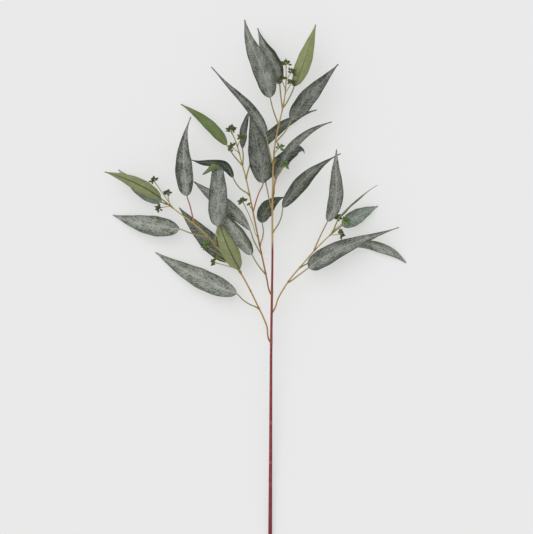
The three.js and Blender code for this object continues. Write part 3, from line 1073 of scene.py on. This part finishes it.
    def petiole(self) -> bpy.types.Object:
        """Models the stalk, from inside its stem to where its rib runs out under the blade.

        Returns:
            The stalk, not yet painted.
        """
        end = self.blade_start + self.stalk_end * self.blade_length
        piece, row, angle = add_tube(f"{self.node}_stalk", self.stalk_sides, self.stalk_rows)
        rows = np.linspace(0, end, self.stalk_rows + 1)
        section = self.line.at(rows)
        under = np.clip((rows - self.blade_start) / (end - self.blade_start), 0, 1)
        packed = slice(0, self.stalk_rings + 2)
        thin = np.interp(rows, self.line.knots[packed], self.line.halves[packed])
        thin = thin * (1 - 0.8 * under**0.8)
        flare = 0.35 * MM * hump(rows - 2.2 * MM, 3.0 * MM)
        sunk = ease(rows, self.blade_start - 1.0 * MM, self.blade_start + 5 * MM)
        section.point = section.point - section.up * (sunk * (thin - 0.05 * MM))[:, None]
        radius = (thin + flare)[row]
        section.point[:, 2] = np.maximum(section.point[:, 2], (thin + flare) + self.floor_gap)
        shape_tube(piece, row, angle, section, radius)
        share = np.clip(rows / self.blade_start, 0, 1)
        joint = 0.6 * hump(rows - 1.5 * MM, 3.0 * MM)
        mark(piece, "run", np.stack([share[row], np.zeros(len(row)), joint[row]], axis=1))
        return piece

    def build(self, paints: Paintbox) -> bpy.types.Object:
        """Models the leaf and dresses it.

        Args:
            paints: Where its finishes come from.

        Returns:
            The finished piece.
        """
        blade, petiole = self.blade(paints), self.petiole()
        paints.give(petiole, self.stalk)
        piece = join([blade, petiole], f"{self.node}_blade_and_stalk")
        smooth(piece)
        return piece


# ---------------------------------------------------------------------------------------------
# Bud clusters
# ---------------------------------------------------------------------------------------------

@dataclass
class BudCluster:
    """A small umbel: a twig, and buds on short stalks that spread from its end."""
    node: str
    bud: Finish = Finish.GREEN_BUD
    twig: Finish = Finish.TWIG
    dark: tuple[float, float] = (0.0, 0.6)  # range of how dark its buds are
    bud_sides: int = 8
    bud_rows: int = 9
    bud_share: float = 0.66  # of the way from the hub to a bud's tip
    bud_radius: float = 1.8 * MM
    inner_reach: float = 0.78  # of an inner bud, as a share of an outer one's
    ring_at: float = 0.72  # of the same way, where a packed bud is widest
    knob_edge: float = 1.6 * MM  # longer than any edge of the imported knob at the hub
    twig_sides: int = 10
    twig_rows: int = 24
    stalk_radius: float = 0.5 * MM
    twig_radius: float = 0.72 * MM
    foot_radius: float = 1.1 * MM
    hub_radius: float = 0.95 * MM

    def __post_init__(self) -> None:
        """Reads the twig, the hub and the tips of the buds from the frame."""
        self.chance = random.Random(self.node)
        solid = PackedSolid(self.node)
        tips, middles = [], []
        for corner in solid.poles(5):
            around = np.array([v.co for v in solid.neighbours(corner)], float)
            edges = np.linalg.norm(around - np.array(corner.co), axis=1)
            if edges.min() > self.knob_edge and np.ptp(edges) < 0.02 * MM:
                tips.append(np.array(corner.co, float))
                middles.append(around.mean(axis=0))
        ways = (np.array(tips) - np.array(middles)) / (1 - self.ring_at)
        self.hub = np.median(np.array(tips) - ways, axis=0)
        reach = float(np.median(np.linalg.norm(ways, axis=1)))
        corners = np.array([v.co for v in solid.shape.verts], float)
        self.tips = corners[np.abs(np.linalg.norm(corners - self.hub, axis=1) - reach) < 0.05 * MM]
        foot, rings = self.twig_rings(solid)
        self.path = np.array([foot, *rings, self.hub])
        solid.done()

    def twig_rings(self, solid: PackedSolid) -> tuple[Array, list[Array]]:
        """Finds the twig's foot, and its rings that lie clear of the hub.

        Args:
            solid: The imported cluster.

        Returns:
            The foot, and the middles of the rings.
        """
        for corner in solid.poles(6):
            around = np.array([v.co for v in solid.neighbours(corner)], float)
            reach = np.linalg.norm(around - np.array(corner.co), axis=1)
            if np.ptp(reach) < 0.01 * MM and reach.max() < 1 * MM:
                foot = np.array(corner.co, float)
                levels = solid.levels(corner, 4)
                middles = [np.mean([v.co for v in ring], axis=0) for ring in levels[1:] if len(ring) == 6]
                clear = [m for m in middles if np.linalg.norm(m - self.hub) > 2.5 * MM]
                return foot, clear
        raise ValueError(f"{self.node} has no twig foot")

    def plug_into(self, stem: Stem) -> None:
        """Runs the twig's foot on into its stem, and gives the stem a joint there."""
        self.path = np.vstack([stem.root_for(self.path[0], self.path[1]), self.path])

    def bar(self, name: str, path: Array, radii: Array, sides: int, rows: int) -> bpy.types.Object:
        """A thin round bar along a path.

        Args:
            name: The object's name.
            path: The points that it runs through.
            radii: Its radius at each point.
            sides: Faces round it.
            rows: Faces along it.

        Returns:
            The bar, with its share along it stored.
        """
        line = Line(path, radii, np.tile((0.13, 0.07, 1.0), (len(path), 1)))
        piece, row, angle = add_tube(name, sides, rows)
        section = line.at(np.linspace(0, line.length, rows + 1))
        shape_tube(piece, row, angle, section, section.half[row])
        share = row / rows
        joint = 0.5 * hump(share * line.length - 1.5 * MM, 3 * MM)
        mark(piece, "run", np.stack([share, np.zeros(len(row)), joint], axis=1))
        return piece

    def model_bud(self) -> bpy.types.Object:
        """Models one upright bud of length one: a cup, a rim and a pointed cap.

        Returns:
            The bud.
        """
        piece, row, angle = add_tube(f"{self.node}_bud", self.bud_sides, self.bud_rows)
        share = row / self.bud_rows
        outline_at = np.array([0, 0.06, 0.2, 0.38, 0.5, 0.55, 0.68, 0.82, 0.93, 1.0])
        outline = np.array([0.25, 0.42, 0.78, 0.98, 1.0, 0.9, 0.78, 0.5, 0.24, 0.06])
        rise = outline_at[row]
        radius = outline[row]
        place_corners(piece, np.stack([radius * np.cos(angle), radius * np.sin(angle), rise], axis=1))
        mark(piece, "run", np.stack([share, np.zeros(len(row)), np.zeros(len(row))], axis=1))
        return piece

    def inner_tips(self, ahead: Array) -> list[Array]:
        """Places smaller buds in the gaps between the outer ones.

        Args:
            ahead: The direction in which the twig ends.

        Returns:
            The place of each tip.
        """
        ways = self.tips - self.hub
        reach = float(np.linalg.norm(ways, axis=1).mean())
        between = [ways[k] + ways[k - 1] + 0.5 * reach * ahead for k in range(len(ways))]
        return [self.hub + unit(way) * reach * self.inner_reach for way in between]

    def grow(self, pattern: bpy.types.Object, tip: Array, ahead: Array,
             number: int) -> list[bpy.types.Object]:
        """Grows one bud on its short stalk.

        Args:
            pattern: The upright bud that it is a copy of.
            tip: Where the bud ends.
            ahead: The direction in which the twig ends.
            number: The bud's number in its cluster.

        Returns:
            The stalk and the bud.
        """
        reach = float(np.linalg.norm(tip - self.hub))
        towards = (tip - self.hub) / reach
        turned = unit(towards + 0.22 * np.array([self.chance.uniform(-1, 1) for _ in range(3)]))
        length = reach * self.bud_share * self.chance.uniform(0.88, 1.06)
        foot = tip - turned * length
        bend = (self.hub + foot) / 2 + ahead * 0.12 * reach * (1 - float(ahead @ towards)) / 2
        path = np.array([self.hub - ahead * 0.3 * MM, bend, foot + turned * 0.2 * MM])
        stalk = self.bar(f"{self.node}_pedicel_{number}", path, np.full(3, self.stalk_radius), 6, 6)
        bud = pattern.copy()
        bud.data = pattern.data.copy()
        bpy.context.scene.collection.objects.link(bud)
        girth = self.bud_radius * self.chance.uniform(0.85, 1.15)
        face = Vector(turned).to_track_quat("Z", "Y").to_matrix().to_4x4()
        spin = Matrix.Rotation(self.chance.uniform(0, FULL_TURN), 4, "Z")
        size = Matrix.Diagonal((girth, girth, length, 1))
        bud.data.transform(Matrix.Translation(Vector(foot)) @ face @ spin @ size)
        run = np.zeros(len(bud.data.vertices) * 3, np.float32)
        bud.data.attributes["run"].data.foreach_get("vector", run)
        run = run.reshape(-1, 3)
        run[:, 1] = self.chance.uniform(*self.dark)
        mark(bud, "run", run)
        return [stalk, bud]

    def build(self, paints: Paintbox) -> bpy.types.Object:
        """Models the cluster and dresses it.

        Args:
            paints: Where its finishes come from.

        Returns:
            The finished piece.
        """
        radii = np.full(len(self.path), self.twig_radius)
        radii[[0, -1]] = self.foot_radius, self.hub_radius
        twig = self.bar(f"{self.node}_twig", self.path, radii, self.twig_sides, self.twig_rows)
        paints.give(twig, self.twig)
        pattern = self.model_bud()
        paints.give(pattern, self.bud)
        ahead = unit(self.path[-1] - self.path[-2])
        pieces = [twig]
        for number, tip in enumerate([*self.tips, *self.inner_tips(ahead)]):
            stalk, bud = self.grow(pattern, tip, ahead, number)
            paints.give(stalk, self.twig)
            pieces += [stalk, bud]
        bpy.data.objects.remove(pattern)
        piece = join(pieces, f"{self.node}_umbel")
        smooth(piece)
        return piece


# ---------------------------------------------------------------------------------------------
# The branch
# ---------------------------------------------------------------------------------------------

@dataclass
class Branch:
    """The whole branch: which finish and which marks each stem, leaf and cluster has."""
    paints: Paintbox = field(default_factory=Paintbox)

    def stems(self) -> dict[str, Stem]:
        """Lists the four stems, with the side stems plugged into the main one.

        Returns:
            The stems by name.
        """
        worn = [Band(at, 0.9, 0.12, ring=0.7) for at in (65, 145, 189, 214, 245)]
        rubbed = [Band(at, 2.2, 0.0, ring=0.3) for at in (108, 166, 294, 322, 333, 344)]
        strong = Band(274, 1.3, 0.2, ring=0.9)
        sleeves = [Band(587, 6, 0.35, ring=0.2, joint=0.3), Band(677, 5, 0.4, ring=0.3, joint=0.4)]
        stems = {
            "main": Stem("main", Finish.RED_STEM, (*worn, *rubbed, strong, *sleeves)),
            "lower_left": Stem("lower_left", Finish.TAN_STEM, (Band(97, 2.5, 0.3, joint=0.8),)),
            "upper_left": Stem("upper_left", Finish.BROWN_STEM),
            "right": Stem("right", Finish.TAN_STEM),
        }
        for name in ("lower_left", "upper_left", "right"):
            stems[name].plug_into(stems["main"])
        return stems

    def leaves(self) -> list[Leaf]:
        """Lists the 29 leaves, stem by stem.

        Returns:
            The leaves.
        """
        f = Finish
        underside = {"slot": "olive_leaf"}
        return [
            # Some leaves have one half darkened: partly missing print, partly painted shade of a half
            # turned away from the light.
            Leaf("main_leaf_1", f.FROSTED),
            Leaf("main_leaf_2", f.FROSTED, shade_and_bare=(0, 0.9)),
            Leaf("main_leaf_3", f.DARK, f.SAGE, f.PLAIN_RIB, **underside),
            Leaf("main_leaf_4", f.DARK),
            Leaf("main_leaf_5", f.DARK, shade_and_bare=(0.05, 0.1)),
            Leaf("main_leaf_6", f.DARK),
            Leaf("main_leaf_7", f.DARK),
            Leaf("main_leaf_8", f.DARK, shade_and_bare=(0, 0.4)),
            Leaf("upper_left_leaf_1", f.DARK, f.LIME, f.PLAIN_RIB, **underside),
            Leaf("upper_left_leaf_2", f.DARK),
            Leaf("upper_left_leaf_3", f.DEEP),
            Leaf("upper_left_leaf_4", f.DARK),
            Leaf("upper_left_leaf_5", f.DARK, stalk=f.PINK_STALK),
            Leaf("upper_left_leaf_6", f.PALE),
            Leaf("upper_left_leaf_7", f.PALE, shade_and_bare=(0, 0.7)),
            Leaf("upper_left_leaf_8", f.DEEP),
            Leaf("lower_left_leaf_1", f.PALE),
            Leaf("lower_left_leaf_2", f.DARK, f.OLIVE, f.DARK_RIB, **underside),
            Leaf("lower_left_leaf_3", f.DARK),
            Leaf("lower_left_leaf_4", f.FROSTED, f.LIME, fold=math.radians(6), stalk_end=0.6,
                 crease=Crease(distance=99.5 * MM, bearing=math.radians(153.6), radius=4 * MM,
                               halves=(8.8, 6.3, 3.4, 0.5), length=39.5 * MM)),
            Leaf("lower_left_leaf_5", f.PALE),
            Leaf("lower_left_leaf_6", f.FROSTED, stalk=f.PINK_STALK, shade_and_bare=(0.1, 0.25)),
            Leaf("lower_left_leaf_7", f.DARK, f.OLIVE, f.DARK_RIB, **underside),
            Leaf("lower_left_leaf_8", f.BLUE),
            Leaf("right_leaf_1", f.FROSTED),
            Leaf("right_leaf_2", f.PALE),
            Leaf("right_leaf_3", f.FROSTED, stalk=f.TAN_STALK),
            Leaf("right_leaf_4", f.DARK),
            Leaf("right_leaf_5", f.BLUE),
        ]

    def clusters(self) -> list[BudCluster]:
        """Lists the 21 bud clusters, stem by stem.

        Returns:
            The clusters.
        """
        f = Finish
        counts = {"main": 7, "upper_left": 5, "lower_left": 6, "right": 3}
        marks = {
            "main_buds_4": {"bud": f.BRIGHT_BUD, "dark": (0, 0.3)},
            "main_buds_6": {"bud": f.BRIGHT_BUD, "twig": f.BLUSHED_TWIG, "dark": (0.1, 0.6)},
            "upper_left_buds_3": {"bud": f.BROWN_BUD},
            "lower_left_buds_4": {"bud": f.BRIGHT_BUD, "dark": (0, 0.5)},
            "lower_left_buds_6": {"bud": f.BROWN_BUD, "dark": (0, 0.3)},
            "right_buds_1": {"bud": f.BRIGHT_BUD, "dark": (0.1, 0.6)},
            "right_buds_2": {"bud": f.BRIGHT_BUD, "dark": (0.1, 0.6)},
        }
        nodes = [f"{stem}_buds_{n}" for stem, count in counts.items() for n in range(1, count + 1)]
        return [BudCluster(node, **marks.get(node, {})) for node in nodes]

    def build(self) -> None:
        """Models every piece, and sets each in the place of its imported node."""
        stems = self.stems()
        leaves, clusters = self.leaves(), self.clusters()
        for part in (*leaves, *clusters):
            part.plug_into(stems[part.node.rsplit("_", 2)[0]])
        for leaf in leaves:
            self.settle(leaf.build(self.paints), leaf.node)
        for cluster in clusters:
            self.settle(cluster.build(self.paints), cluster.node)
        for stem in stems.values():
            self.settle(stem.build(self.paints), stem.node)

    def settle(self, piece: bpy.types.Object, node: str) -> None:
        """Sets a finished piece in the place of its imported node, and reports it.

        Args:
            piece: The finished piece.
            node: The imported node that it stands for.
        """
        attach(piece, "root")
        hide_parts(node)
        log.info("%s stands for %s, %d faces", piece.name, node, len(piece.data.polygons))


# ---------------------------------------------------------------------------------------------
# The studio
# ---------------------------------------------------------------------------------------------

@dataclass
class Studio:
    """A pale floor, an even soft light and a camera that looks straight down through a long lens."""
    floor_half_side: float = 9.0
    floor_colour: str = "#b0b0b0"
    floor_glow: float = 0.42
    sky_strength: float = 0.62
    sun_strength: float = 1.15
    sun_softness: float = math.radians(60)
    sun_tilt: tuple[float, float, float] = (math.radians(-22), math.radians(-24), 0.0)
    lens: float = 300.0
    sensor: float = 36.0
    seen_height: float = 0.908
    aim_offset: tuple[float, float] = (0.0181, 0.0294)  # of the picture's middle from the branch's
    aim_height: float = 0.04

    def floor(self) -> None:
        """Adds the floor: painted board, matte and even, lit a little from within so that no
        shadow on it turns heavy."""
        start_primitive()
        bpy.ops.mesh.primitive_plane_add(size=2 * self.floor_half_side)
        board = bpy.context.object
        board.name = "studio_floor"
        material, tree = new_material("matte_painted_board")
        add_surface(tree, {"Base Color": self.floor_colour, "Roughness": 0.9, "Specular IOR Level": 0.0,
                           "Emission Color": "#ffffff", "Emission Strength": self.floor_glow})
        board.data.materials.append(material)

    def light(self) -> None:
        """Adds an even sky and one broad soft lamp, high on the left."""
        world = bpy.data.worlds.new("studio_sky")
        world.use_nodes = True
        tree = world.node_tree
        tree.nodes.clear()
        sky = add_node(tree, "Background", None, {0: "#ffffff", 1: self.sky_strength})
        add_node(tree, "OutputWorld", None, {0: sky.outputs[0]})
        bpy.context.scene.world = world
        start_primitive()
        bpy.ops.object.light_add(type="SUN", location=(-1, 1, 3), rotation=self.sun_tilt)
        lamp = bpy.context.object
        lamp.name = "soft_lamp"
        lamp.data.energy = self.sun_strength
        lamp.data.angle = self.sun_softness

    def camera(self) -> None:
        """Adds the camera above the branch, with the stem's foot just past the picture's lower edge."""
        low, high = cad_box
        middle = (low + high) / 2
        distance = self.seen_height * self.lens / self.sensor
        place = (middle.x + self.aim_offset[0], middle.y + self.aim_offset[1], self.aim_height + distance)
        start_primitive()
        bpy.ops.object.camera_add(location=place, rotation=(0, 0, 0))
        eye = bpy.context.object
        eye.name = "studio_camera"
        eye.data.lens, eye.data.sensor_width = self.lens, self.sensor
        eye.data.clip_end = 4 * distance
        bpy.context.scene.camera = eye

    def build(self) -> None:
        """Adds the floor, the lights and the camera, and keeps colours as they are lit."""
        self.floor()
        self.light()
        self.camera()
        bpy.context.scene.view_settings.view_transform = "Standard"


def main() -> None:
    """Builds the studio and the branch."""
    logging.basicConfig(level=logging.INFO, format="%(message)s")
    Studio().build()
    Branch().build()


if __name__ == "__main__":
    main()
